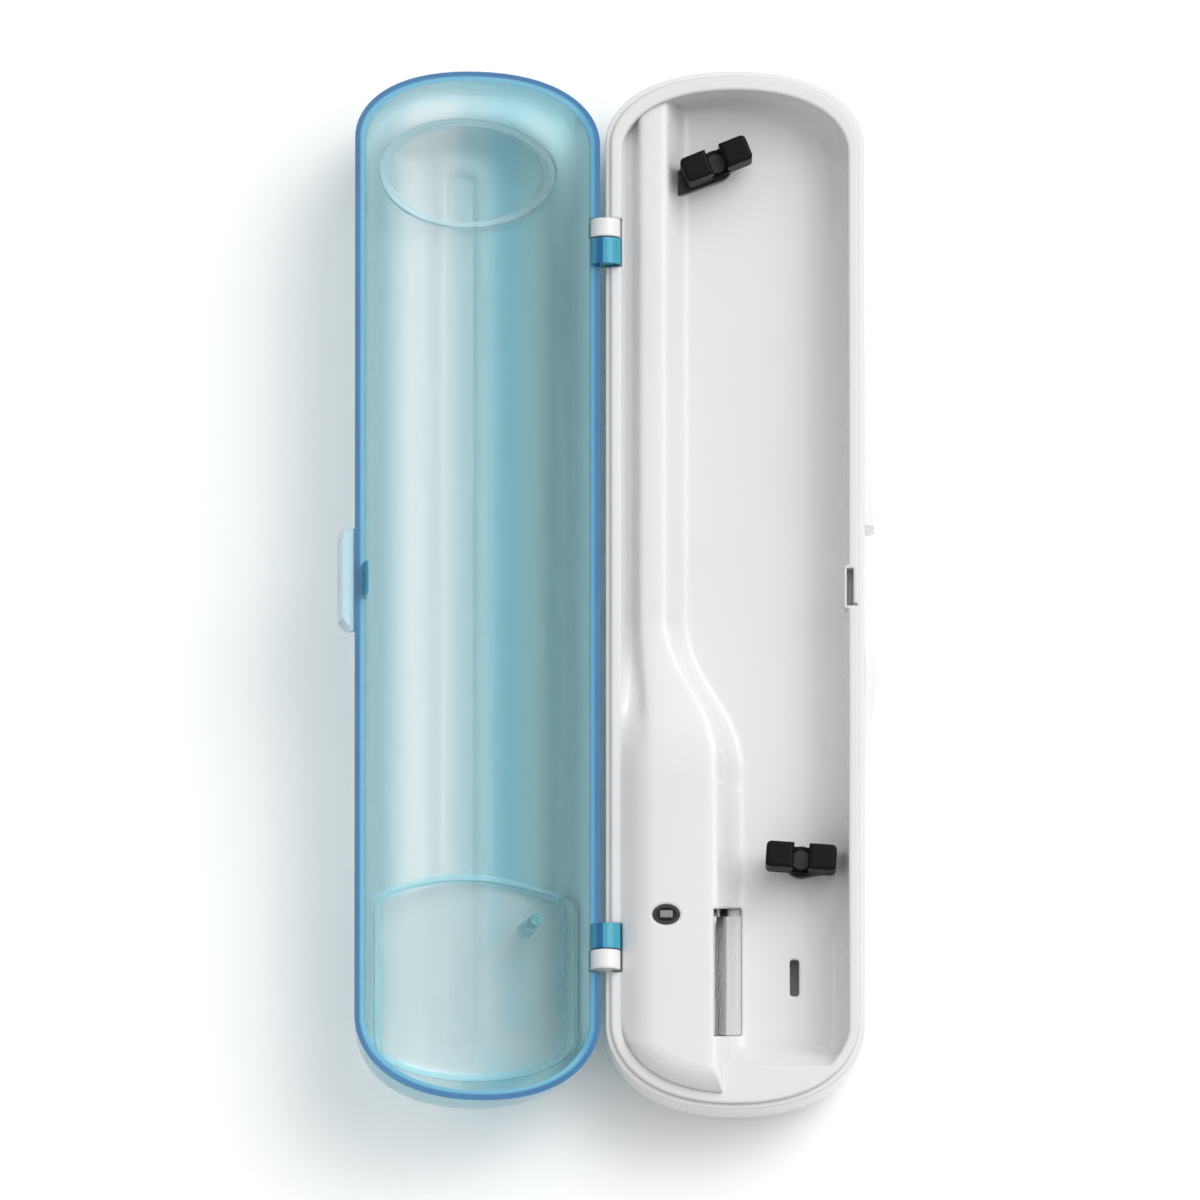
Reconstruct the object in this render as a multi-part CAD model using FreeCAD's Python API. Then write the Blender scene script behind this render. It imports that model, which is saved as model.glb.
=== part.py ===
import FreeCAD, Part
import math
import os

os.makedirs("parts", exist_ok=True)
V = FreeCAD.Vector

# ------------------------------------------------------------ driving dimensions (mm)
# The hinge axis is the line x = 0, z = HINGE_Z; SHIFT_X then centres the whole object.
SHIFT_X = -0.609            # moves everything sideways at the end
HINGE_Z = 19.5           # hinge axis and parting plane
RIM_CX = 27.6            # centre line of the base
RIM_HX = 26.45           # half width of the rim outline
RIM_Y = 111.05           # half length of the rim outline
NORTH_B = 14.9           # rise of the rounded top end
SOUTH_B = 17.6           # rise of the rounded bottom end
END_K1, END_K2 = 0.400, 0.775   # shape of both ends, as spline handle lengths
RIM_W = 2.3              # width of the flat rim
RIM_TOP = 19.4           # top of the tray rim
SEAM_Z = 18.6            # seam between base shell and tray
SHELL_BOT = 1.8          # bottom wall
FLOOR_Z = 7.7            # tray floor, top side
FLOOR_T = 1.5            # tray wall

RIDGE_Z = 18.5           # top of the narrow ridge
PLATEAU_Z = 23.25        # top of the raised housing

KNUCKLE_R = 3.2
KNUCKLES = (             # (lid knuckle y0, y1, base knuckle y0, y1)
    (70.0, 75.5, 75.8, 79.7),
    (-77.95, -72.6, -82.35, -78.25),
)
PIN_R = 0.9
PIN_CLEAR = 0.06
SWEEP_R = 3.6            # radius kept free round a knuckle

LID_RIM = 19.6           # lid rim when shut
LID_T = 2.0              # lid wall
OPEN_DEG = 170.4         # how far the lid is open as modelled

CELL_R = 5.25
CELL_L = 44.5
CELL_X, CELL_Z = 9.4, 7.4
CELL_Y0 = -2.5           # south end of the front cell

UPPER_CLIP = (23.6, 93.15, 22.0)     # x, y, turn in degrees
LOWER_CLIP = (41.6, -57.5, -4.0)
CLIP_Z0, CLIP_Z1 = 10.5, 19.5
ARM_Z0, ARM_Z1 = 8.5, 10.4
STUD_R = 1.4

SWITCH = (12.9, -70.95)
PLUNGER_TOP = 23.95
WINDOW = (22.95, 28.9, -97.2, -69.75)
DRAIN = (39.2, 41.2, -86.05, -78.05)
SCREWS = ((45.0, 92.0), (44.0, -90.0), (19.6, 98.0), (9.4, -101.0))
BOARD = (5.4, 20.6, -94.0, -45.0, 6.0, 7.2)
BOARD_SCREWS = ((8.0, -48.2), (18.0, -90.6))
LAMP = (22.8, 11.6, 1.6)             # x, z, radius
DOOR = (3.9, 15.0, -4.0)             # opening of the cell bay: x0, x1, south end
DOOR_TOP = 3.4


# ------------------------------------------------------------ helpers
def box(x0, x1, y0, y1, z0, z1):
    return Part.makeBox(x1 - x0, y1 - y0, z1 - z0, V(x0, y0, z0))


def cyl(r, x, y, z0, z1):
    return Part.makeCylinder(r, z1 - z0, V(x, y, z0), V(0, 0, 1))


def cyl_y(r, x, z, y0, y1):
    return Part.makeCylinder(r, y1 - y0, V(x, y0, z), V(0, 1, 0))


def corner(p0, p1, side_k, end_k, toward_end):
    """Quarter of a rounded end between a side point p0 and the apex p1."""
    a = V(p0.x, p0.y + side_k * (p1.y - p0.y), p0.z)
    b = V(p1.x + end_k * (p0.x - p1.x), p1.y, p1.z)
    q = Part.BezierCurve()
    q.setPoles([p0, a, b, p1] if toward_end else [p1, b, a, p0])
    return q.toShape()


def outline(z, inset, inset_y=None):
    """Rim-shaped loop: straight sides, rounded ends, moved in by inset (sides) and inset_y (ends)."""
    iy = inset if inset_y is None else inset_y
    a, c = RIM_HX - inset, RIM_CX
    s = a / RIM_HX
    top, bot = RIM_Y - iy, -(RIM_Y - iy)
    yn, ys = top - NORTH_B * s, bot + SOUTH_B * s
    r0, r1, n = V(c + a, ys, z), V(c + a, yn, z), V(c, top, z)
    l1, l0, m = V(c - a, yn, z), V(c - a, ys, z), V(c, bot, z)
    return Part.Wire([
        Part.makeLine(r0, r1), corner(r1, n, END_K1, END_K2, True), corner(l1, n, END_K1, END_K2, False),
        Part.makeLine(l1, l0), corner(l0, m, END_K1, END_K2, True), corner(r0, m, END_K1, END_K2, False)])


def basin_loop(z, x1, yn, ys, rc, bn, x0=3.46):
    """Loop of the tray's hollow: rounded top end, square bottom end with round corners."""
    c = (x0 + x1) / 2.0
    r0, r1, n = V(x1, ys + rc, z), V(x1, yn - bn, z), V(c, yn, z)
    l1, l0 = V(x0, yn - bn, z), V(x0, ys + rc, z)
    bl, br = V(x0 + rc, ys, z), V(x1 - rc, ys, z)
    return Part.Wire([
        Part.makeLine(r0, r1), corner(r1, n, END_K1, END_K2, True), corner(l1, n, END_K1, END_K2, False),
        Part.makeLine(l1, l0), corner(l0, bl, 0.5523, 0.5523, True), Part.makeLine(bl, br),
        corner(r0, br, 0.5523, 0.5523, False)])


def loft(wires, ruled=False):
    return Part.makeLoft(wires, True, ruled)


def prism(inset, z0, z1):
    return Part.Face(outline(z0, inset)).extrude(V(0, 0, z1 - z0))


def biggest(shape):
    return max(shape.Solids, key=lambda s: s.Volume)


def soften(shape, edges, r):
    try:
        out = shape.makeFillet(r, edges)
        if out.isValid() and out.Solids:
            return out
    except Exception:
        pass
    return shape


def lead(pts, r):
    """Round wire through the points, with ball corners."""
    s = None
    for a, b in zip(pts[:-1], pts[1:]):
        a, b = V(*a), V(*b)
        c = Part.makeCylinder(r, (b - a).Length, a, b - a)
        s = c if s is None else s.fuse(c).fuse(Part.makeSphere(r, a))
    return biggest(s)


PARTS = {}


def put(name, shape):
    s = shape.copy()
    if SHIFT_X:
        s.translate(V(SHIFT_X, 0, 0))
    PARTS[name] = s


# ------------------------------------------------------------ raised housing
# Cross sections as spline poles in (x, z): narrow ridge and wide part.
TOP_RIDGE = [(3.2, 19.35), (3.7, 18.6), (4.3, 15.3), (4.9, 14.5), (5.9, 14.5), (6.6, 15.2), (7.0, 18.0), (7.6, 18.5), (9.8, 18.55), (12.5, 18.5), (13.4, 18.1), (14.3, 13.8), (15.6, 9.6), (16.5, 7.7), (17.9, 7.7)]
TOP_WIDE = [(3.2, 19.35), (3.7, 19.6), (4.7, 20.4), (5.8, 21.3), (6.8, 22.0), (7.8, 22.5), (9.0, 22.95), (10.4, 23.2), (15.0, 23.25), (23.0, 23.25), (24.1, 22.9), (25.3, 17.0), (26.4, 10.4), (28.0, 7.7), (29.9, 7.7)]
IN_RIDGE = [(3.9, 12.0), (4.1, 12.9), (4.9, 13.0), (5.9, 13.0), (7.2, 13.1), (8.2, 13.6), (8.5, 16.4), (9.1, 17.0), (10.2, 17.0), (11.4, 17.0), (12.1, 16.5), (12.9, 12.6), (14.5, 9.8), (15.5, 7.6), (15.7, 6.1)]
IN_WIDE = [(3.9, 17.6), (4.2, 18.1), (5.2, 19.0), (6.1, 19.7), (7.1, 20.4), (8.1, 20.9), (9.2, 21.4), (10.6, 21.7), (15.0, 21.75), (21.8, 21.75), (22.6, 21.4), (23.7, 16.4), (24.7, 10.4), (25.8, 7.6), (26.0, 6.1)]
FLARE = [(-5.0, 0.0, 0.0), (-8.0, 0.01, 0.02), (-11.0, 0.07, 0.07), (-14.5, 0.18, 0.16), (-18.5, 0.36, 0.32), (-22.5, 0.57, 0.50), (-26.0, 0.745, 0.67), (-30.0, 0.885, 0.83), (-34.0, 0.97, 0.93), (-38.0, 0.995, 0.985), (-42.0, 1.0, 1.0)]


def section(y, f, h, ridge, wide, z0):
    poles = [V(a[0] + (b[0] - a[0]) * f, y, a[1] + (b[1] - a[1]) * h) for a, b in zip(ridge, wide)]
    c = Part.BSplineCurve()
    c.buildFromPoles(poles, False, 3)
    p0, p1 = poles[0], poles[-1]
    q0, q1 = V(p0.x, y, z0), V(p1.x, y, z0)
    return Part.Wire([c.toShape(), Part.makeLine(p1, q1), Part.makeLine(q1, q0), Part.makeLine(q0, p0)])


def long_body(ridge, wide, z0, y_n, y_s):
    a = Part.Face(section(FLARE[0][0], 0, 0, ridge, wide, z0)).extrude(V(0, y_n - FLARE[0][0], 0))
    b = loft([section(y, f, h, ridge, wide, z0) for y, f, h in FLARE])
    c = Part.Face(section(FLARE[-1][0], 1, 1, ridge, wide, z0)).extrude(V(0, y_s - FLARE[-1][0], 0))
    return a.fuse(b).fuse(c).removeSplitter()


limit = loft([outline(5.0, 1.6), outline(9.0, 1.2), outline(18.7, 1.0), outline(19.36, 2.3), outline(20.2, 2.4), outline(21.3, 3.0), outline(22.2, 4.0), outline(22.9, 5.3), outline(23.4, 7.6)], True)
limit_in = loft([outline(-0.5, 2.6), outline(17.6, 2.6), outline(19.0, 4.1), outline(20.4, 5.3), outline(21.3, 7.2), outline(21.9, 9.4)], True)
housing = long_body(TOP_RIDGE, TOP_WIDE, 6.2, 112.0, -112.0).common(limit)
room = long_body(IN_RIDGE, IN_WIDE, -0.4, 111.0, -111.0).common(limit_in)

# ------------------------------------------------------------ tray liner
BAS = [(FLOOR_Z, 42.4, 105.4, -96.9, 2.6, 10.0), (8.2, 45.4, 106.3, -97.2, 2.8, 11.2), (9.6, 48.0, 107.0, -97.9, 3.0, 12.2),
       (11.6, 49.8, 107.4, -98.9, 3.0, 13.1), (14.0, 50.9, 107.7, -100.1, 3.0, 13.4), (16.6, 51.5, 107.9, -101.5, 3.0, 13.5), (20.2, 51.78, 108.0, -103.2, 3.0, 13.55)]
hollow_a = loft([basin_loop(*b) for b in BAS]).common(prism(RIM_W - 0.3, 5.0, 21.0))
SHB = [(FLOOR_Z - FLOOR_T, 43.0, 105.6, -98.8, 3.6, 10.6), (7.0, 46.9, 107.6, -99.2, 4.0, 12.0), (8.8, 49.6, 108.6, -100.0, 4.2, 13.2),
       (11.2, 51.4, 109.5, -101.2, 4.4, 14.0), (14.0, 52.4, 109.7, -102.4, 4.4, 14.2), (16.4, 52.8, 109.9, -103.8, 4.4, 14.3), (18.8, 52.95, 110.0, -105.3, 4.4, 14.4)]
body_b = loft([basin_loop(*b, x0=2.2) for b in SHB])
keep = prism(0.7, 5.0, 18.7)
tray = body_b.common(keep).fuse(prism(0.85, 17.9, 19.0)).fuse(prism(0.0, SEAM_Z, RIM_TOP)).cut(hollow_a)
tray = tray.fuse(housing).cut(room)

# screw posts and their pilot holes
for x, y in SCREWS:
    if y < -95:
        tray = tray.fuse(cyl(2.6, x, y, 3.1, 12.0).fuse(cyl(2.6, x, y, 11.5, 20.5).common(limit)))
    else:
        tray = tray.fuse(cyl(2.6, x, y, 3.1, FLOOR_Z - 0.6))
for x, y in SCREWS:
    tray = tray.cut(cyl(0.85, x, y, 3.0, 6.6 if y > -95 else 9.5))

# walls across the ridge that close the bay of the cells, kept low so that the leads pass over
for y0, y1 in ((-5.4, -4.3), (92.6, 93.8)):
    tray = tray.fuse(box(3.5, 15.4, y0, y1, 4.0, 12.7).common(housing.fuse(box(5.2, 14.4, y0, y1, 3.5, 6.6))))

# board posts
for x, y in BOARD_SCREWS:
    tray = tray.fuse(cyl(1.8, x, y, BOARD[5], 24.0).common(housing))
for x, y in BOARD_SCREWS:
    tray = tray.cut(cyl(0.8, x, y, 5.0, 12.0))

# hinge recesses
for l0, l1, b0, b1 in KNUCKLES:
    y0, y1 = min(l0, b0) - 0.35, max(l1, b1) + 0.35
    tray = tray.cut(cyl_y(SWEEP_R, 0.0, HINGE_Z, y0, y1))

# latch slot on the inner edge of the rim, with a guard wall towards the hollow
LATCH = (51.35, 52.75, -3.65, 4.45)
guard = box(50.75, 53.1, LATCH[2] - 0.7, LATCH[3] + 0.7, 14.2, RIM_TOP)
guard = soften(guard, [e for e in guard.Edges if abs(e.tangentAt(e.FirstParameter).z) > 0.9 and e.BoundBox.XMax < 51], 0.5)
tray = tray.fuse(guard)
tray = tray.cut(box(LATCH[0], LATCH[1], LATCH[2], LATCH[3], 14.9, RIM_TOP + 1))
tray = tray.cut(box(LATCH[1] - 0.1, LATCH[1] + 0.8, LATCH[2], LATCH[2] + 0.5, RIM_TOP - 0.5, RIM_TOP + 1))

# drain slot, switch hole, lamp window
dx0, dx1, dy0, dy1 = DRAIN
slot = box(dx0, dx1, dy0, dy1, -1.0, 9.0)
slot = soften(slot, [e for e in slot.Edges if abs(e.tangentAt(e.FirstParameter).z) > 0.9], 0.7)
tray = tray.cut(slot)
sx, sy = SWITCH
SW_A, SW_B = 2.95, 2.25


def oval(x, y, a, b, z0, z1):
    return Part.Face(Part.Wire([Part.Ellipse(V(x, y, z0), a, b).toShape()])).extrude(V(0, 0, z1 - z0))


tray = tray.cut(oval(sx, sy, SW_A, SW_B, 20.0, 25.0))
wx0, wx1, wy0, wy1 = WINDOW
LEAN = 0.176            # the ends of the window lean by this much per mm, with the flank's bend


def window_cut(x0, x1, y0, y1, z0=6.9, z1=24.5):
    p = [V(x0, y0 + LEAN * (PLATEAU_Z - z0), z0), V(x0, y1 + LEAN * (PLATEAU_Z - z0), z0),
         V(x0, y1 + LEAN * (PLATEAU_Z - z1), z1), V(x0, y0 + LEAN * (PLATEAU_Z - z1), z1)]
    return Part.Face(Part.makePolygon(p + [p[0]])).extrude(V(x1 - x0, 0, 0))


tray = tray.cut(window_cut(wx0, wx1, wy0, wy1))
tray = biggest(tray.removeSplitter())
put("tray_liner", tray)

# ------------------------------------------------------------ base shell
OUT = [(0.0, 5.5), (0.6, 3.2), (2.0, 1.0), (4.5, -0.4), (8.0, -1.15), (12.0, -1.25), (16.0, -1.2), (SEAM_Z, -1.05)]
outer = loft([outline(z, i) for z, i in OUT])
INN = [(SHELL_BOT, 3.9), (3.2, 2.2), (5.0, 1.25), (8.0, 0.75), (12.0, 0.62), (16.0, 0.62), (19.0, 0.66)]
inner = loft([outline(z, i) for z, i in INN])

WING_U = [(55.05, 74.0), (55.35, 66.0), (55.75, 52.0), (56.2, 37.2), (56.8, 26.3), (57.4, 20.9), (57.62, 16.4), (57.3, 14.0)]
WING_L = [(57.3, -12.6), (58.25, -14.4), (58.2, -18.0), (57.9, -21.5), (56.8, -28.0), (55.75, -38.0), (55.3, -46.0), (55.05, -52.0)]


def wing(pts):
    def loop(z, g):
        base = 54.2
        q = [V(base + (x - base) * g, y, z) for x, y in pts]
        c = Part.BSplineCurve()
        c.buildFromPoles(q, False, 3)
        a, b = V(53.0, q[-1].y, z), V(53.0, q[0].y, z)
        return Part.Wire([c.toShape(), Part.makeLine(q[-1], a), Part.makeLine(a, b), Part.makeLine(b, q[0])])
    return loft([loop(z, g) for z, g in ((2.8, 0.1), (4.2, 0.55), (6.5, 0.92), (9.5, 1.0), (13.0, 1.0), (15.6, 0.86), (17.3, 0.3))], True)


shell = outer.fuse(wing(WING_U)).fuse(wing(WING_L)).cut(inner)
for l0, l1, b0, b1 in KNUCKLES:
    web = box(0.0, 1.9, b0, b1, 14.0, HINGE_Z)
    shell = shell.fuse(cyl_y(KNUCKLE_R, 0.0, HINGE_Z, b0, b1)).fuse(web)
for l0, l1, b0, b1 in KNUCKLES:
    shell = shell.cut(cyl_y(SWEEP_R, 0.0, HINGE_Z, l0 - 0.35, l1 + 0.12) if l0 > 0 else cyl_y(SWEEP_R, 0.0, HINGE_Z, l0 - 0.12, l1 + 0.35))
for l0, l1, b0, b1 in KNUCKLES:
    y0, y1 = (b0 - 1, b1 - 0.5) if l0 > 0 else (b0 + 0.5, b1 + 1)
    shell = shell.cut(cyl_y(PIN_R, 0.0, HINGE_Z, y0, y1))
for x, y in SCREWS:
    shell = shell.fuse(cyl(3.2, x, y, 1.0, 3.1))
for x, y in SCREWS:
    shell = shell.cut(cyl(2.2, x, y, -1, 1.9)).cut(cyl(1.15, x, y, 1, 4))
shell = shell.cut(slot)
door_room = box(DOOR[0], DOOR[1], DOOR[2], 120.0, -1.0, DOOR_TOP)
door = shell.common(box(DOOR[0] + 0.3, DOOR[1] - 0.3, DOOR[2] + 0.3, 120.0, -1.0, DOOR_TOP - 0.2))
shell = shell.cut(door_room)
TONGUES = (4.0, 42.0, 80.0)
for y in TONGUES:                     # notches that let the tongues lift out once the door has slid 10 mm
    shell = shell.cut(box(DOOR[1] - 0.1, DOOR[1] + 1.3, y + 9.8, y + 17.2, -1, SHELL_BOT + 0.05))
shell = biggest(shell.removeSplitter())
put("base_shell", shell)

# door of the cell bay: inner tongues along one side, grip grooves at its open end
door = biggest(door)
for y in TONGUES:
    door = door.fuse(box(DOOR[1] - 1.6, DOOR[1] + 1.0, y, y + 7.0, SHELL_BOT - 0.3, 2.7).cut(box(DOOR[1] - 0.3, DOOR[1] + 2, y - 1, y + 8, 0, SHELL_BOT + 0.1)))
door = door.cut(cyl_y(CELL_R + 0.12, CELL_X, CELL_Z, DOOR[2] - 1, 95))
for i in range(5):
    door = door.cut(box(6.6, 13.0, 84.0 + 1.6 * i, 84.8 + 1.6 * i, -1, 0.4))
put("battery_door", biggest(door.removeSplitter()))

# ------------------------------------------------------------ lid (built shut, then opened)
LID_OUT = [(0.0, 0.0, 0.0), (2.6, 0.5, -0.1), (5.3, 1.0, -0.15), (10.6, 2.1, 0.0), (14.3, 3.3, 0.5), (17.6, 5.2, 1.6), (20.1, 8.2, 3.9), (21.55, 12.0, 7.1), (22.35, 16.0, 10.8), (22.7, 20.0, 14.9), (22.8, 23.8, 19.0)]
LID_IN = [(-0.6, 2.0, 2.0), (2.6, 2.5, 1.9), (5.3, 3.0, 1.85), (10.2, 4.1, 2.0), (13.6, 5.25, 2.6), (16.4, 7.0, 3.8), (18.5, 9.7, 5.9), (19.8, 13.2, 8.8), (20.5, 17.0, 12.3), (20.78, 20.6, 15.8), (20.85, 23.8, 19.2)]
LID_BAND = [(-0.6, 2.5, 2.5), (2.6, 3.0, 2.4), (5.3, 3.5, 2.35), (10.0, 4.6, 2.5), (13.3, 5.7, 3.1), (15.9, 7.4, 4.2), (17.95, 10.0, 6.2), (19.25, 13.4, 9.0), (19.95, 17.1, 12.4), (20.23, 20.7, 15.9), (20.3, 23.8, 19.3)]
lid_out = loft([outline(LID_RIM + d, i, j) for d, i, j in LID_OUT])
lid_in = loft([outline(LID_RIM + d, i, j) for d, i, j in LID_IN])
lid_band = loft([outline(LID_RIM + d, i, j) for d, i, j in LID_BAND])
lid = lid_out.cut(lid_in)
band = lid_in.cut(lid_band)

# raised lines inside the crown: an oval at the top end, a panel with an arched top at the bottom end
OVAL = (27.0, 92.6, 19.0, 11.6, 1.1)
ring = oval(OVAL[0], OVAL[1], OVAL[2], OVAL[3], 24, 46).cut(oval(OVAL[0], OVAL[1], OVAL[2] - OVAL[4], OVAL[3] - OVAL[4], 23, 47))
lid = lid.fuse(ring.common(band))
PANEL = (4.9, 47.3, -64.9, -58.9, -99.6, -104.0)


def panel(g, z0, z1):
    x0, x1, ys, yt, yc, yb = PANEL
    x0, x1, yt, yb = x0 + g, x1 - g, yt - g, yb + g
    c = (x0 + x1) / 2
    e = [Part.makeLine(V(x0, yc, z0), V(x0, ys, z0)), Part.Arc(V(x0, ys, z0), V(c, yt, z0), V(x1, ys, z0)).toShape(),
         Part.makeLine(V(x1, ys, z0), V(x1, yc, z0)), Part.Arc(V(x1, yc, z0), V(c, yb, z0), V(x0, yc, z0)).toShape()]
    s = Part.Face(Part.Wire(e)).extrude(V(0, 0, z1 - z0))
    return soften(s, [q for q in s.Edges if abs(q.tangentAt(q.FirstParameter).z) > 0.9], 6.0 - g)


lid = lid.fuse(panel(0.0, 24, 46).cut(panel(1.4, 23, 47)).common(band))

# knuckles and the webs that carry them
for l0, l1, b0, b1 in KNUCKLES:
    web = Part.makePolygon([V(0.2, l0, HINGE_Z), V(2.9, l0, HINGE_Z), V(4.2, l0, HINGE_Z + 8.6), V(2.9, l0, HINGE_Z + 8.6), V(0.2, l0, HINGE_Z + 3.2), V(0.2, l0, HINGE_Z)])
    web = Part.Face(web).extrude(V(0, l1 - l0, 0))
    lid = lid.fuse(cyl_y(KNUCKLE_R, 0.0, HINGE_Z, l0, l1)).fuse(web)
for l0, l1, b0, b1 in KNUCKLES:
    y0, y1 = (b0 - 0.12, b1 + 0.5) if l0 > 0 else (b0 - 0.5, b1 + 0.12)
    lid = lid.cut(cyl_y(SWEEP_R, 0.0, HINGE_Z, y0, y1))
    lid = lid.cut(cyl_y(PIN_R + PIN_CLEAR, 0.0, HINGE_Z, l0 - 1, l1 + 1))

# thumb tab: shelf and hanging lip
def slab(x0, x1, y0, y1, cut, z0, z1):
    """Block with slanted outer corners."""
    p = [V(x0, y0, z0), V(x1 - cut, y0, z0), V(x1, y0 + cut * 1.3, z0), V(x1, y1 - cut * 1.3, z0), V(x1 - cut, y1, z0), V(x0, y1, z0)]
    return Part.Face(Part.makePolygon(p + [p[0]])).extrude(V(0, 0, z1 - z0))


tab = slab(52.6, 57.5, -10.7, 11.4, 1.5, LID_RIM + 0.2, LID_RIM + 2.1)
lip = slab(52.6, 57.5, -10.7, 11.4, 1.5, LID_RIM - 5.0, LID_RIM + 1.0).cut(slab(50.0, 56.0, -11.5, 12.2, 1.0, LID_RIM - 6, LID_RIM + 2))
tab = tab.fuse(lip).removeSplitter()
tab = soften(tab, [e for e in tab.Edges if e.BoundBox.ZMin > LID_RIM + 2.0 and e.BoundBox.XMin > 54.5], 0.6)
lid = lid.fuse(tab)

# hook under the latch side: reaches into the slot of the tray rim
hp = [(51.2, 25.0), (52.6, 25.0), (52.35, LID_RIM), (52.3, 17.2), (52.1, 15.9), (51.85, 15.6), (51.6, 15.9), (51.58, LID_RIM), (51.2, 21.0)]
hook = Part.Face(Part.makePolygon([V(x, -3.1, z) for x, z in hp + [hp[0]]])).extrude(V(0, 7.0, 0))
lid = lid.fuse(hook)

# post that meets the switch plunger when the lid is shut
NUB = (14.0, -70.95)
lid = lid.fuse(Part.makeCone(1.3, 1.75, 42.0 - PLUNGER_TOP - 0.2, V(NUB[0], NUB[1], PLUNGER_TOP + 0.2), V(0, 0, 1)).common(lid_out))
lid = biggest(lid.removeSplitter())
if OPEN_DEG:
    lid.rotate(V(0, 0, HINGE_Z), V(0, 1, 0), -OPEN_DEG)
put("lid_shell", lid)

# ------------------------------------------------------------ hinge pins
for name, (l0, l1, b0, b1) in zip(("hinge_pin_upper", "hinge_pin_lower"), KNUCKLES):
    y0, y1 = (l0 + 0.2, b1 - 0.5) if l0 > 0 else (b0 + 0.5, l1 - 0.2)
    put(name, cyl_y(PIN_R, 0.0, HINGE_Z, y0, y1))


# ------------------------------------------------------------ brush clips
def clip():
    """Rubber clip about the origin: two jaws along x, throat along y, narrow neck below."""
    b = Part.makeBox(15.0, 5.6, CLIP_Z1 - 12.0, V(-7.5, -2.8, 12.0))
    b = soften(b, [e for e in b.Edges if abs(e.tangentAt(e.FirstParameter).z) > 0.9], 1.1)
    neck = Part.makeBox(9.4, 5.0, 2.0, V(-4.7, -2.5, CLIP_Z0))
    neck = soften(neck, [e for e in neck.Edges if abs(e.tangentAt(e.FirstParameter).z) > 0.9], 1.2)
    b = b.fuse(neck)
    b = b.cut(Part.makeBox(3.2, 8, 8, V(-1.6, -4, 14.4)))
    b = b.cut(Part.makeCylinder(2.1, 8, V(0, -4, 14.5), V(0, 1, 0)))
    b = soften(b, [e for e in b.Edges if e.BoundBox.ZMin > CLIP_Z1 - 0.01], 0.8)
    b = b.cut(Part.makeCylinder(STUD_R + 0.05, 6, V(0, 0, CLIP_Z0 - 1)))
    return b.cut(Part.makeCylinder(2.2, 4, V(0, 0, 12.3))).removeSplitter()


def stud():
    s = Part.makeCylinder(STUD_R, 12.5 - ARM_Z0 - 0.4, V(0, 0, ARM_Z0 + 0.4))
    return s.fuse(Part.makeCylinder(2.05, 0.6, V(0, 0, 12.36))).removeSplitter()


def at(s, x, y, deg=0.0):
    s = s.copy()
    s.rotate(V(0, 0, 0), V(0, 0, 1), deg)
    s.translate(V(x, y, 0))
    return s


ux, uy, ud = UPPER_CLIP
lx, ly, ldg = LOWER_CLIP
put("upper_clip", at(clip(), ux, uy, ud))
put("lower_clip", at(clip(), lx, ly, ldg))
put("upper_clip_stud", at(stud(), ux, uy))
put("lower_clip_stud", at(stud(), lx, ly))


def arm(x0, y0, x1, y1, r0, r1):
    """Flat tapered arm from a round end at the stud to its root."""
    d = V(x1 - x0, y1 - y0, 0)
    d.normalize()
    n = V(-d.y, d.x, 0)
    a, c = V(x0, y0, ARM_Z0), V(x1, y1, ARM_Z0)
    p = [a + n * r0, c + n * r1, c - n * r1, a - n * r0]
    s = Part.Face(Part.makePolygon(p + [p[0]])).extrude(V(0, 0, ARM_Z1 - ARM_Z0))
    return s.fuse(cyl(r0, x0, y0, ARM_Z0, ARM_Z1))


bu = biggest(arm(ux, uy, 13.4, 88.2, 3.4, 2.2).cut(tray).cut(room)).cut(cyl(STUD_R, ux, uy, ARM_Z0 + 0.4, 25))
put("upper_clip_bracket", bu.removeSplitter())
wall_post = box(49.8, 52.4, ly - 0.2 - 1.1, ly - 0.2 + 1.1, ARM_Z0, 15.6)
bl = biggest(arm(lx, ly, 50.6, ly - 0.1, 3.4, 1.6).fuse(wall_post).cut(tray).cut(shell).removeSplitter()).cut(cyl(STUD_R, lx, ly, ARM_Z0 + 0.4, 25))
bl = biggest(bl.common(box(30, 51.9, -70, -50, 5, 20)))
put("lower_clip_bracket", bl.removeSplitter())

# ------------------------------------------------------------ switch
body = box(sx - 3.9, sx + 4.6, sy - 3.6, sy + 3.6, 13.0, 20.6).fuse(box(sx - 2.4, sx + 4.4, sy - 2.4, sy + 2.4, 20.6, 21.6))
body = body.fuse(box(sx - 3.2, sx - 2.6, sy - 0.4, sy + 0.4, 10.2, 13.0)).fuse(box(sx + 2.6, sx + 3.2, sy - 0.4, sy + 0.4, 10.2, 13.0))
well = box(sx - 1.45, sx + 1.45, sy - 0.85, sy + 0.85, 16.0, 30)
put("switch_body", body.cut(well).removeSplitter())
bez = oval(sx, sy, SW_A - 0.05, SW_B - 0.05, 21.65, 23.2).cut(well)
bez = bez.cut(oval(sx, sy, SW_A - 0.75, SW_B - 0.75, 22.5, 24))
put("switch_bezel", biggest(bez))
pl = box(sx - 1.37, sx + 1.37, sy - 0.77, sy + 0.77, 17.4, PLUNGER_TOP)
put("switch_plunger", soften(pl, [e for e in pl.Edges if e.BoundBox.ZMin > PLUNGER_TOP - 0.01], 0.25))

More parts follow.
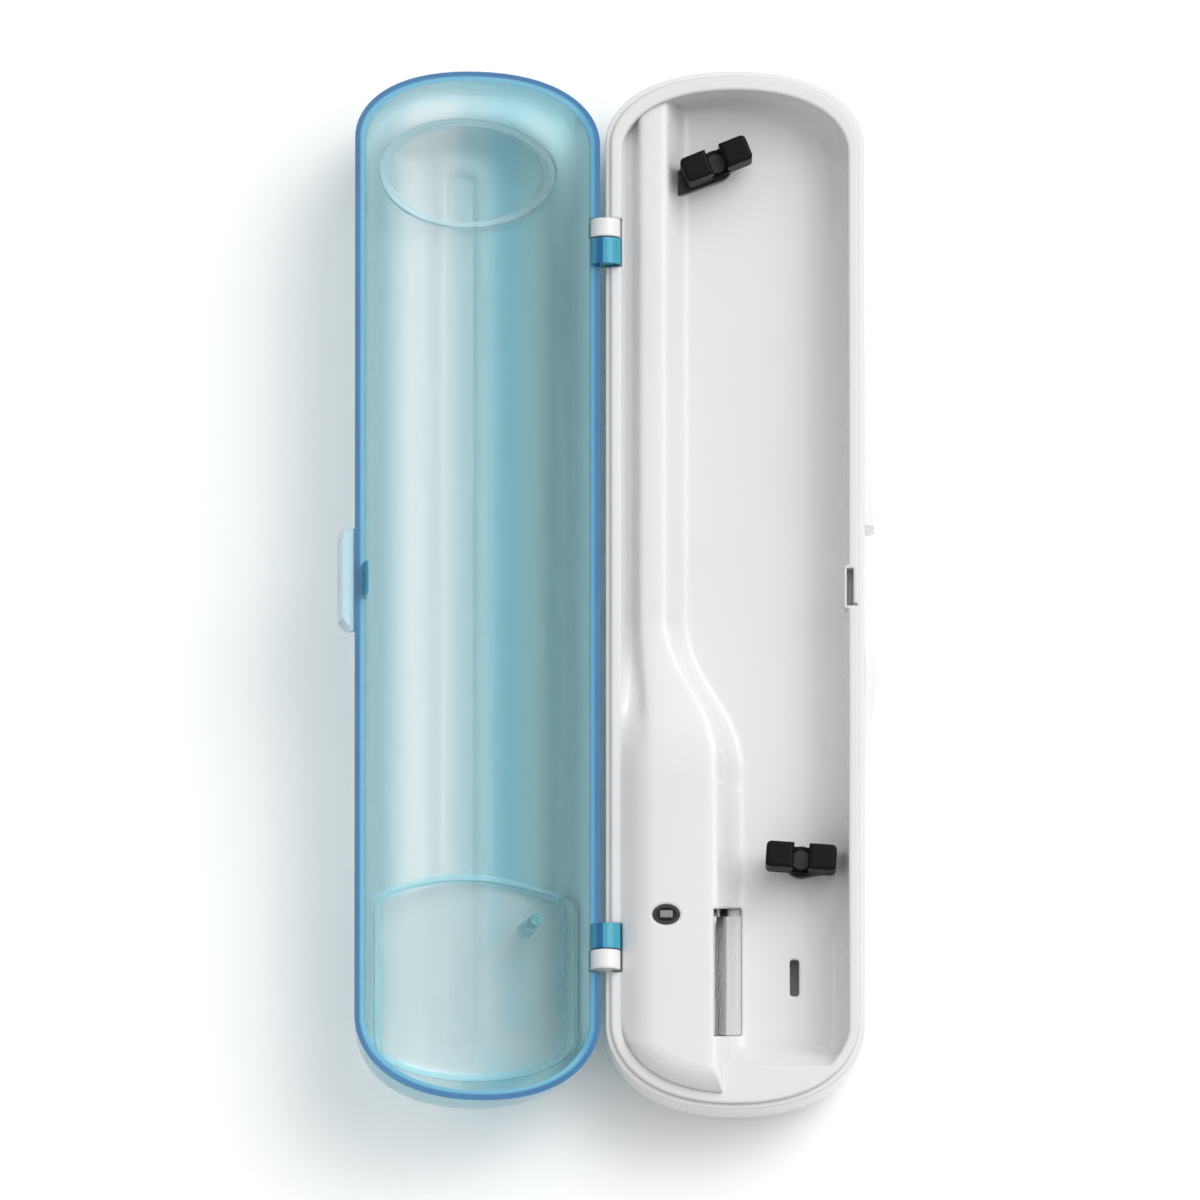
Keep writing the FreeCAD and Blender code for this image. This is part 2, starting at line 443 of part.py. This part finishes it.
# ------------------------------------------------------------ lamp
LX, LZ, LR = LAMP
LY0, LY1 = -101.7, -63.7
tube = cyl_y(LR, LX, LZ, LY0, LY1).cut(cyl_y(LR - 0.45, LX, LZ, LY0 + 1.2, LY1 - 1.2))
put("uv_lamp_tube", tube)
holders = []
for y0, y1 in ((LY0 + 0.6, LY0 + 3.4), (LY1 - 3.4, LY1 - 0.6)):
    h = box(LX - 2.3, LX + 1.9, y0, y1, SHELL_BOT + 0.02, LZ + 0.9)
    h = h.cut(box(LX - 3, LX - 2.1, y0 - 1, y1 + 1, 5.0, 8.3)).cut(cyl_y(LR, LX, LZ, y0 - 1, y1 + 1)).cut(box(LX - 1.25, LX + 1.25, y0 - 1, y1 + 1, LZ, LZ + 3))
    holders.append(biggest(h.cut(tray).cut(cyl_y(3.3, LX + 1.0, LZ - 4.2, LY0 + 3.0, LY1 - 3.0))))
put("lamp_holders", Part.makeCompound(holders))
ry0, ry1 = wy0 + 0.1, wy1 - 1.75
rp = [(20.2, 14.6), (20.8, 14.6), (20.8, 10.2), (22.0, 9.0), (24.2, 8.9), (25.05, 10.0), (25.05, 15.2), (25.75, 15.4), (26.15, 12.6), (26.75, 10.3), (27.6, 8.95), (28.8, 8.05), (28.8, 7.2), (27.4, 7.9), (26.2, 9.1), (25.6, 8.9), (24.6, 8.2), (21.7, 8.2), (20.2, 9.8)]
x0 = rp[0][0]


def leaning(poly, y0, y1):
    """Prism of an x-z profile whose end faces lean like the window's."""
    f = Part.Face(Part.makePolygon([V(x, 0, z) for x, z in poly + [poly[0]]])).extrude(V(0, y1 - y0 + 20, 0))
    f.translate(V(0, y0 - 10, 0))
    return f.common(window_cut(15.0, 35.0, y0, y1, 5.0, 24.0))


refl = leaning(rp, ry0, ry1)
put("lamp_reflector", biggest(refl.cut(tray)))

# ------------------------------------------------------------ board and what it carries
bx0, bx1, by0, by1, bz0, bz1 = BOARD
board = box(bx0, bx1, by0, by1, bz0, bz1)
for x, y in BOARD_SCREWS:
    board = board.cut(cyl(0.95, x, y, 5, 8))
put("control_board", board.common(prism(2.7, 5, 9)))
T0, T1 = -62.6, -53.6
core = box(10.4, 20.0, T0, T1, bz1, 16.0).cut(box(12.0, 18.4, T0 - 1, T1 + 1, 8.8, 14.4))
put("transformer_core", core)
put("transformer_coil", box(12.0, 18.4, T0 + 0.5, T1 - 0.5, 8.8, 14.4))
put("capacitors", Part.makeCompound([cyl(2.0, 8.2, -84.5, bz1, 13.2), cyl(2.0, 13.2, -84.5, bz1, 13.2), cyl(1.6, 7.6, -54.5, bz1, 11.6)]))
put("driver_transistor", box(6.8, 11.6, -79.8, -77.2, bz1 + 0.0, 12.0))
bs = []
for x, y in BOARD_SCREWS:
    bs.append(cyl(0.8, x, y, bz0, 11.6).fuse(cyl(1.7, x, y, bz0 - 1.2, bz0)).removeSplitter())
put("board_screws", Part.makeCompound(bs))


# ------------------------------------------------------------ cells, contacts, leads
def cell(y0):
    c = cyl_y(CELL_R, CELL_X, CELL_Z, y0, y0 + CELL_L - 1.0)
    c = soften(c, [e for e in c.Edges if e.Closed], 0.5)
    return c.fuse(cyl_y(1.9, CELL_X, CELL_Z, y0 + CELL_L - 1.2, y0 + CELL_L)).removeSplitter()


put("battery_1", cell(CELL_Y0 + CELL_L))
put("battery_2", cell(CELL_Y0))
ys0 = CELL_Y0
plate = box(CELL_X - 4.0, CELL_X + 4.0, ys0 - 1.55, ys0 - 1.15, 3.6, 11.6).fuse(box(CELL_X + 1.3, CELL_X + 2.8, ys0 - 1.55, ys0 - 1.15, 11.6, 14.2))
put("battery_spring_plate", plate.removeSplitter())
coil = []
for i in range(29):                   # conical coil: two turns, 14 straight lengths each
    t, r = 2 * math.pi * i / 14, 3.0 - 0.8 * i / 28
    coil.append(V(CELL_X + r * math.cos(t), ys0 - 0.95 + 0.36 * i / 14, CELL_Z + r * math.sin(t)))
wire_end = Part.Wire([Part.makeCircle(0.18, coil[0], coil[1] - coil[0])])
spring = Part.makePolygon(coil).makePipeShell([wire_end], True, False, 1)
put("battery_spring", spring)
yn0 = CELL_Y0 + 2 * CELL_L
pc = box(CELL_X - 4.0, CELL_X + 4.0, yn0 + 0.02, yn0 + 0.45, 3.6, 11.6).fuse(box(CELL_X - 0.4, CELL_X + 1.4, yn0 + 0.02, yn0 + 0.45, 11.6, 14.8))
pc = pc.fuse(box(CELL_X - 2.0, CELL_X + 2.0, yn0 + 0.45, 92.6, 5.2, 5.7)).fuse(box(CELL_X - 2.0, CELL_X + 2.0, 92.1, 92.6, 5.2, 10.0))
put("battery_plate", pc.removeSplitter())
put("battery_lead_red", lead([(9.9, yn0, 14.2), (9.9, -10.0, 14.2), (10.6, -40.0, 12.0), (10.8, -47.0, 8.4), (11.4, -50.6, 7.71)], 0.5))
put("battery_lead_black", lead([(11.5, ys0 - 2.05, 13.7), (11.6, -12.0, 14.0), (12.4, -40.0, 11.0), (12.6, -46.5, 8.2), (13.4, -51.0, 7.75)], 0.5))
put("lamp_leads", Part.makeCompound([
    lead([(LX, LY1 + 0.46, LZ), (21.2, LY1 + 1.6, LZ - 0.8), (18.6, LY1 - 2.4, 9.4), (17.6, LY1 - 3.4, 7.66)], 0.45),
    lead([(LX, LY0 - 0.46, LZ), (20.0, LY0 - 0.6, LZ - 0.6), (16.4, LY0 + 3.0, 9.6), (15.0, by0 + 1.4, 7.66)], 0.45)]))

# ------------------------------------------------------------ case screws
cs = []
for x, y in SCREWS:
    top = 6.5 if y > -95 else 9.4
    s = cyl(0.85, x, y, 1.9, top).fuse(cyl(1.9, x, y, 0.7, 1.9))
    s = s.cut(box(x - 1.2, x + 1.2, y - 0.25, y + 0.25, 0.6, 1.2)).cut(box(x - 0.25, x + 0.25, y - 1.2, y + 1.2, 0.6, 1.2))
    cs.append(s.removeSplitter())
put("case_screws", Part.makeCompound(cs))

# ------------------------------------------------------------ write
for name, shape in PARTS.items():
    shape.exportStep("parts/%s.step" % name)
bb = [s.BoundBox for s in PARTS.values()]
print("box x %.2f %.2f y %.2f %.2f z %.2f %.2f" % (min(b.XMin for b in bb), max(b.XMax for b in bb), min(b.YMin for b in bb), max(b.YMax for b in bb), min(b.ZMin for b in bb), max(b.ZMax for b in bb)))
for name, shape in sorted(PARTS.items()):
    print("%-22s solids %d valid %s vol %.1f z %.2f..%.2f" % (name, len(shape.Solids), shape.isValid(), shape.Volume, shape.BoundBox.ZMin, shape.BoundBox.ZMax))
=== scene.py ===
import bpy, bmesh, math
from mathutils import Vector, Matrix

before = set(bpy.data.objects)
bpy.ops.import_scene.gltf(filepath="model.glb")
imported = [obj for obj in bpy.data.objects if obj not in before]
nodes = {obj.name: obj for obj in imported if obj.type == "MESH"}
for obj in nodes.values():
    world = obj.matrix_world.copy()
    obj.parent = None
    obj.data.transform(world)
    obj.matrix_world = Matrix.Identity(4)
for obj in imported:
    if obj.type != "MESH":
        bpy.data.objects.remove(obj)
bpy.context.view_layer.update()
S = -0.000609                      # where the hinge axis lies in x, in metres


# ------------------------------------------------------------ material helpers
def new_mat(name):
    m = bpy.data.materials.new(name)
    m.use_nodes = True
    nt = m.node_tree
    b = nt.nodes["Principled BSDF"]
    return m, nt, b


def obj_coord(nt, scale=1.0):
    tc = nt.nodes.new("ShaderNodeTexCoord")
    mp = nt.nodes.new("ShaderNodeMapping")
    s = scale if isinstance(scale, tuple) else (scale,) * 3
    mp.inputs["Scale"].default_value = s
    nt.links.new(tc.outputs["Object"], mp.inputs["Vector"])
    return mp.outputs["Vector"]


def noise(nt, vec, scale, detail=3.0, rough=0.5):
    n = nt.nodes.new("ShaderNodeTexNoise")
    n.inputs["Scale"].default_value = scale
    n.inputs["Detail"].default_value = detail
    n.inputs["Roughness"].default_value = rough
    nt.links.new(vec, n.inputs["Vector"])
    return n.outputs["Fac"]


def remap(nt, fac, a, b, c, d, clamp=True):
    r = nt.nodes.new("ShaderNodeMapRange")
    r.clamp = clamp
    r.inputs["From Min"].default_value = a
    r.inputs["From Max"].default_value = b
    r.inputs["To Min"].default_value = c
    r.inputs["To Max"].default_value = d
    nt.links.new(fac, r.inputs["Value"])
    return r.outputs["Result"]


def mixcol(nt, fac, a, b):
    m = nt.nodes.new("ShaderNodeMix")
    m.data_type = "RGBA"
    m.inputs["A"].default_value = (*a, 1)
    m.inputs["B"].default_value = (*b, 1)
    nt.links.new(fac, m.inputs["Factor"])
    return m.outputs["Result"]


def bump(nt, height, strength, distance):
    b = nt.nodes.new("ShaderNodeBump")
    b.inputs["Strength"].default_value = strength
    b.inputs["Distance"].default_value = distance
    nt.links.new(height, b.inputs["Height"])
    return b.outputs["Normal"]


def plastic(name, col, rough, vary=0.03, grain=0.0, grain_scale=900.0, spec=0.5, rvary=0.06, coat=0.0, soft=0.0):
    """Moulded plastic: faint flow variation in the colour, uneven gloss and, where asked, a fine spark grain or softly
    rounded edges."""
    m, nt, b = new_mat(name)
    v = obj_coord(nt)
    flow = noise(nt, v, 38.0, 2.0)
    hi = tuple(min(1.0, c * (1 + vary)) for c in col)
    lo = tuple(c * (1 - vary) for c in col)
    nt.links.new(mixcol(nt, remap(nt, flow, 0.3, 0.7, 0, 1), lo, hi), b.inputs["Base Color"])
    fine = noise(nt, v, 420.0, 3.0)
    nt.links.new(remap(nt, fine, 0.25, 0.75, max(0.02, rough - rvary), rough + rvary), b.inputs["Roughness"])
    b.inputs["Specular IOR Level"].default_value = spec
    b.inputs["IOR"].default_value = 1.49
    if coat:
        b.inputs["Coat Weight"].default_value = coat
        b.inputs["Coat Roughness"].default_value = 0.08
    if grain:
        nt.links.new(bump(nt, noise(nt, v, grain_scale, 2.0), grain, 0.0001), b.inputs["Normal"])
    if soft:
        bv = nt.nodes.new("ShaderNodeBevel")
        bv.samples = 6
        bv.inputs["Radius"].default_value = soft
        nt.links.new(bv.outputs["Normal"], b.inputs["Normal"])
    return m


def metal(name, col, rough, brushed=(1, 1, 1), bs=0.25):
    m, nt, b = new_mat(name)
    v = obj_coord(nt, brushed)
    n = noise(nt, v, 700.0, 3.0)
    nt.links.new(mixcol(nt, n, tuple(c * 0.86 for c in col), col), b.inputs["Base Color"])
    nt.links.new(remap(nt, n, 0.2, 0.8, rough * 0.7, rough * 1.4), b.inputs["Roughness"])
    nt.links.new(bump(nt, n, bs, 0.00005), b.inputs["Normal"])
    b.inputs["Metallic"].default_value = 1.0
    return m


def clear(name, tint, density, rough):
    """Clear tinted plastic: a smooth surface with the colour in its depth."""
    m, nt, b = new_mat(name)
    b.inputs["Base Color"].default_value = (1, 1, 1, 1)
    b.inputs["Transmission Weight"].default_value = 1.0
    b.inputs["IOR"].default_value = 1.49
    v = obj_coord(nt)
    n = noise(nt, v, 260.0, 2.0)
    nt.links.new(remap(nt, n, 0.3, 0.7, rough * 0.6, rough * 1.4), b.inputs["Roughness"])
    ab = nt.nodes.new("ShaderNodeVolumeAbsorption")
    ab.inputs["Color"].default_value = (*tint, 1)
    ab.inputs["Density"].default_value = density
    out = [x for x in nt.nodes if x.type == "OUTPUT_MATERIAL"][0]
    nt.links.new(ab.outputs["Volume"], out.inputs["Volume"])
    return m


def vmath(nt, op, a, b):
    n = nt.nodes.new("ShaderNodeMath")
    n.operation = op
    for k, v in enumerate((a, b)):
        if isinstance(v, (int, float)):
            n.inputs[k].default_value = v
        else:
            nt.links.new(v, n.inputs[k])
    return n.outputs[0]


OPEN = math.radians(170.4)
HINGE = Vector((S, 0.0, 0.0195))


def lid_coord(nt):
    """Coordinates of the shut lid, in metres from the hinge axis: x across, y along, z up from the parting plane."""
    tc = nt.nodes.new("ShaderNodeTexCoord")
    mp = nt.nodes.new("ShaderNodeMapping")
    rot = Matrix.Rotation(OPEN, 3, "Y")
    mp.inputs["Rotation"].default_value = (0.0, OPEN, 0.0)
    mp.inputs["Location"].default_value = -(rot @ HINGE)
    nt.links.new(tc.outputs["Object"], mp.inputs["Vector"])
    sp = nt.nodes.new("ShaderNodeSeparateXYZ")
    nt.links.new(mp.outputs["Vector"], sp.inputs["Vector"])
    return mp.outputs["Vector"], sp.outputs


def ramp(nt, fac, stops):
    r = nt.nodes.new("ShaderNodeValToRGB")
    el = r.color_ramp.elements
    while len(el) < len(stops):
        el.new(0.5)
    r.color_ramp.interpolation = "EASE"
    for e, (pos, col) in zip(el, stops):
        e.position = pos
        e.color = (*col, 1)
    nt.links.new(fac, r.inputs["Fac"])
    return r.outputs["Color"]


def over(nt, fac, under, col):
    """Lays a colour, a socket or plain numbers, over another one."""
    m = nt.nodes.new("ShaderNodeMix")
    m.data_type = "RGBA"
    nt.links.new(fac, m.inputs["Factor"])
    nt.links.new(under, m.inputs["A"])
    if isinstance(col, tuple):
        m.inputs["B"].default_value = (*col, 1)
    else:
        nt.links.new(col, m.inputs["B"])
    return m.outputs["Result"]


def tinted_lid():
    """Blue-tinted clear plastic: colour in the depth, a glowing cut edge, raised lines, a frosted panel at the lamp
    end. A tint ramp across its width is painted light and shade: a bright band, and darker shade beside the hinge.
    """
    m, nt, b = new_mat("lid_tinted_clear")
    vec, (x, y, z) = lid_coord(nt)
    A = lambda p, q: vmath(nt, "ADD", p, q)
    B = lambda p, q: vmath(nt, "SUBTRACT", p, q)
    X = lambda p, q: vmath(nt, "MULTIPLY", p, q)
    P = lambda p, q: vmath(nt, "POWER", p, q)
    hi = lambda p, q: vmath(nt, "MAXIMUM", p, q)
    lo = lambda p, q: vmath(nt, "MINIMUM", p, q)
    ab_ = lambda p: vmath(nt, "ABSOLUTE", p, 0.0)
    # distance in from the rim's outline: straight sides and two rounded ends
    u = X(ab_(B(x, 0.0276)), 1 / 0.02645)
    v = hi(X(hi(B(y, 0.09615), 0.0), 1 / 0.0149), X(hi(B(-0.09345, y), 0.0), 1 / 0.0176))
    f = B(B(1.0, P(u, 2.25)), P(v, 2.05))
    gx = X(P(hi(u, 0.05), 1.25), 2.25 / 0.02645)
    gy = X(P(v, 1.05), 2.05 / 0.0162)
    inset = vmath(nt, "DIVIDE", f, P(A(X(gx, gx), X(gy, gy)), 0.5))
    low = remap(nt, z, 0.00022, 0.00075, 1.0, 0.0)
    main = X(remap(nt, x, 0.0009, 0.0011, 0.0, 1.0), remap(nt, x, 0.0542, 0.0544, 1.0, 0.0))
    rim = X(low, main)
    edge = X(rim, remap(nt, inset, 0.00095, 0.00150, 1.0, 0.0))
    knuckle = remap(nt, x, 0.0008, 0.0011, 1.0, 0.0)
    # wall beside the hinge: mask for its painted shade below and for its milkier, less clear body
    wall = X(remap(nt, x, 0.0035, 0.0095, 1.0, 0.0), remap(nt, z, 0.004, 0.016, 1.0, 0.25))
    # raised oval and the raised outline of the panel
    crown = remap(nt, z, 0.012, 0.015, 0.0, 1.0)
    ox, oy = X(B(x, 0.0270), 1 / 0.0190), X(B(y, 0.0926), 1 / 0.0116)
    orad = P(A(X(ox, ox), X(oy, oy)), 0.5)
    oring = X(remap(nt, orad, 0.86, 0.93, 0.0, 1.0), remap(nt, orad, 1.00, 1.04, 1.0, 0.0))
    px = ab_(B(x, 0.0261))
    sag = B(1.0, P(X(px, 1 / 0.0212), 2.0))
    deep = lo(B(0.0212, px), lo(B(A(X(sag, 0.0060), -0.0649), y), A(A(X(sag, 0.0044), 0.0996), y)))
    pring = X(remap(nt, deep, -0.0003, 0.0003, 0.0, 1.0), remap(nt, deep, 0.0012, 0.0022, 1.0, 0.0))
    lines = X(hi(oring, pring), crown)
    inside = X(remap(nt, deep, 0.0014, 0.0030, 0.0, 1.0), crown)
    # colour: the ramp across the width is painted light and shade, white in a bright band 31-37 mm from the hinge,
    # darker on either side, deepest 18 mm from the hinge
    tint = ramp(nt, X(x, 1 / 0.060), [
        (0.00, (0.76, 0.96, 1.00)), (0.18, (0.80, 0.98, 1.00)), (0.30, (0.62, 0.87, 0.94)), (0.42, (0.75, 0.89, 0.93)),
        (0.52, (1.00, 1.00, 1.00)), (0.62, (1.00, 1.00, 1.00)), (0.74, (0.70, 0.84, 0.87)), (0.92, (0.70, 0.88, 0.94))])
    tint = over(nt, X(oring, crown), tint, (0.74, 0.92, 0.97))
    tint = over(nt, X(pring, crown), tint, (0.56, 0.88, 0.96))
    cloud = remap(nt, noise(nt, vec, 130.0, 4.0), 0.35, 0.65, 0.55, 1.0)
    tint = over(nt, X(inside, cloud), tint, (0.92, 0.955, 0.955))
    # painted shade: the wall beside the hinge, in the shade of the base, is tinted a deeper blue
    tint = over(nt, X(wall, 0.8), tint, (0.66, 0.98, 1.0))
    ends = X(remap(nt, v, 0.0, 0.6, 0.0, 1.0), remap(nt, z, 0.008, 0.020, 1.0, 0.0))
    tint = over(nt, ends, tint, (0.52, 0.83, 0.92))
    tone = noise(nt, vec, 60.0, 2.0)
    blue = mixcol(nt, remap(nt, tone, 0.3, 0.7, 0, 1), (0.002, 0.125, 0.33), (0.010, 0.165, 0.37))
    tint = over(nt, rim, tint, (0.13, 0.44, 0.62))
    tint = over(nt, X(rim, remap(nt, x, 0.004, 0.007, 1.0, 0.0)), tint, (0.05, 0.32, 0.52))
    tint = over(nt, edge, tint, blue)
    tint = over(nt, knuckle, tint, (0.06, 0.50, 0.68))
    nt.links.new(tint, b.inputs["Base Color"])
    tab = remap(nt, x, 0.0547, 0.0553, 0.0, 1.0)
    solid = hi(hi(hi(X(rim, 0.86), X(knuckle, 0.62)), hi(hi(X(wall, 0.60), X(ends, 0.25)), X(lines, 0.30))), X(tab, 0.40))
    nt.links.new(B(1.0, solid), b.inputs["Transmission Weight"])
    b.inputs["IOR"].default_value = 1.49
    fine = noise(nt, vec, 260.0, 2.0)
    gloss = remap(nt, fine, 0.3, 0.7, 0.14, 0.20)
    grit = noise(nt, vec, 900.0, 2.0)
    frost = X(inside, remap(nt, grit, 0.2, 0.8, 0.12, 0.32))
    nt.links.new(A(gloss, frost), b.inputs["Roughness"])
    nt.links.new(bump(nt, X(grit, inside), 0.3, 0.0002), b.inputs["Normal"])
    ab = nt.nodes.new("ShaderNodeVolumeAbsorption")
    ab.inputs["Color"].default_value = (0.0, 0.88, 0.96, 1)
    ab.inputs["Density"].default_value = 46.0
    out = [q for q in nt.nodes if q.type == "OUTPUT_MATERIAL"][0]
    nt.links.new(ab.outputs["Volume"], out.inputs["Volume"])
    return m


M = {}
M["white"] = plastic("shell_white_gloss", (0.755, 0.755, 0.76), 0.16, vary=0.012, spec=0.5, rvary=0.04, soft=0.0007)
M["liner"] = plastic("liner_white_gloss", (0.720, 0.720, 0.725), 0.18, vary=0.012, spec=0.5, rvary=0.05, soft=0.0012)
M["lid"] = tinted_lid()
M["rubber"] = plastic("clip_black_rubber", (0.005, 0.005, 0.006), 0.45, vary=0.25, grain=0.35, grain_scale=1400.0, spec=0.12)
M["black"] = plastic("bracket_black", (0.018, 0.018, 0.02), 0.30, vary=0.2, grain=0.2)
M["switch"] = plastic("switch_black", (0.016, 0.016, 0.018), 0.38, vary=0.2, grain=0.3)
M["plunger"] = plastic("plunger_grey", (0.20, 0.20, 0.21), 0.36, vary=0.08, grain=0.2)
M["glass"] = clear("lamp_tube_glass", (0.86, 0.93, 0.97), 60.0, 0.01)
M["holder"] = plastic("holder_ceramic", (0.72, 0.71, 0.67), 0.5, grain=0.3)
M["mirror"] = metal("reflector_sheet", (0.92, 0.93, 0.94), 0.34, (6, 1, 6), 0.02)
M["board"] = plastic("board_green", (0.02, 0.16, 0.07), 0.35, vary=0.2)
M["ferrite"] = plastic("ferrite_core", (0.035, 0.035, 0.038), 0.6, vary=0.3, grain=0.5)
M["tape"] = plastic("coil_tape", (0.70, 0.46, 0.05), 0.3, vary=0.1)
M["film"] = plastic("capacitor_film", (0.36, 0.07, 0.03), 0.22, vary=0.12, coat=0.5)
M["chip"] = plastic("transistor_black", (0.02, 0.02, 0.02), 0.5, vary=0.2, grain=0.4)
M["steel"] = metal("pin_steel", (0.62, 0.62, 0.63), 0.3, (20, 1, 20))
M["screw"] = metal("screw_steel", (0.58, 0.58, 0.60), 0.28, (1, 1, 20))
M["contact"] = metal("contact_nickel", (0.74, 0.73, 0.70), 0.2)
M["cell"] = plastic("cell_wrap", (0.05, 0.055, 0.07), 0.24, vary=0.05, coat=0.4)
M["red"] = plastic("lead_red", (0.50, 0.02, 0.015), 0.4, vary=0.1)
M["blacklead"] = plastic("lead_black", (0.02, 0.02, 0.02), 0.42, vary=0.1)
M["whitelead"] = plastic("lead_white", (0.70, 0.70, 0.68), 0.42, vary=0.05)

look = {
    "base_shell": "white", "tray_liner": "liner", "lid_shell": "lid", "hinge_pin_upper": "steel", "hinge_pin_lower": "steel",
    "upper_clip": "rubber", "lower_clip": "rubber", "upper_clip_stud": "black", "lower_clip_stud": "black",
    "upper_clip_bracket": "black", "lower_clip_bracket": "black", "switch_body": "switch", "switch_bezel": "switch",
    "switch_plunger": "plunger", "uv_lamp_tube": "glass", "lamp_holders": "holder", "lamp_reflector": "mirror",
    "lamp_leads": "whitelead", "control_board": "board", "transformer_core": "ferrite", "transformer_coil": "tape",
    "capacitors": "film", "driver_transistor": "chip", "board_screws": "screw", "battery_1": "cell", "battery_2": "cell",
    "battery_spring": "contact", "battery_spring_plate": "contact", "battery_plate": "contact", "battery_lead_red": "red",
    "battery_lead_black": "blacklead", "battery_door": "white", "case_screws": "screw",
}
for name, ob in nodes.items():
    ob.data.materials.clear()
    ob.data.materials.append(M[look[name]])

# ------------------------------------------------------------ floor, light, camera
me = bpy.data.meshes.new("floor")
r = 6.0
me.from_pydata([(-r, -r, 0), (r, -r, 0), (r, r, 0), (-r, r, 0)], [], [(0, 1, 2, 3)])
floor = bpy.data.objects.new("floor", me)
bpy.context.scene.collection.objects.link(floor)
fm, fnt, fb = new_mat("floor_pale")
fb.inputs["Base Color"].default_value = (0.99, 0.99, 0.99, 1)
fb.inputs["Roughness"].default_value = 0.9
fb.inputs["Specular IOR Level"].default_value = 0.0
me.materials.append(fm)

world = bpy.data.worlds.new("studio")
bpy.context.scene.world = world
world.use_nodes = True
wn = world.node_tree
bg = wn.nodes["Background"]
bg.inputs["Strength"].default_value = 1.0
tc = wn.nodes.new("ShaderNodeTexCoord")


def lobe(direction, power, gain):
    d = Vector(direction).normalized()
    vm = wn.nodes.new("ShaderNodeVectorMath")
    vm.operation = "DOT_PRODUCT"
    vm.inputs[1].default_value = d
    wn.links.new(tc.outputs["Generated"], vm.inputs[0])
    mx = wn.nodes.new("ShaderNodeMath"); mx.operation = "MAXIMUM"; mx.inputs[1].default_value = 0.0
    wn.links.new(vm.outputs["Value"], mx.inputs[0])
    pw = wn.nodes.new("ShaderNodeMath"); pw.operation = "POWER"; pw.inputs[1].default_value = power
    wn.links.new(mx.outputs[0], pw.inputs[0])
    ml = wn.nodes.new("ShaderNodeMath"); ml.operation = "MULTIPLY"; ml.inputs[1].default_value = gain
    wn.links.new(pw.outputs[0], ml.inputs[0])
    return ml.outputs[0]


def add(a, b):
    n = wn.nodes.new("ShaderNodeMath"); n.operation = "ADD"
    wn.links.new(a, n.inputs[0])
    if isinstance(b, float):
        n.inputs[1].default_value = b
    else:
        wn.links.new(b, n.inputs[1])
    return n.outputs[0]


level = add(lobe((0.48, 0.44, 0.66), 12.0, 5.0), 0.60)
cc = wn.nodes.new("ShaderNodeCombineColor")
for k in ("Red", "Green", "Blue"):
    wn.links.new(level, cc.inputs[k])
wn.links.new(cc.outputs["Color"], bg.inputs["Color"])

cam = bpy.data.cameras.new("camera")
co = bpy.data.objects.new("camera", cam)
bpy.context.scene.collection.objects.link(co)
el = math.radians(80.0)
fwd = Vector((0, math.cos(el), -math.sin(el)))
target = Vector((-0.001779, -0.002485, 0.0195))
DIST = 10.0
co.location = target - fwd * DIST
co.rotation_euler = (math.radians(90.0 - 80.0), 0, 0)
cam.sensor_width = 36.0
cam.lens = 36.0 * DIST / (1.2 / 4.70)
cam.clip_end = 50.0
bpy.context.scene.camera = co
sc = bpy.context.scene
sc.view_settings.view_transform = "Standard"
sc.view_settings.look = "None"
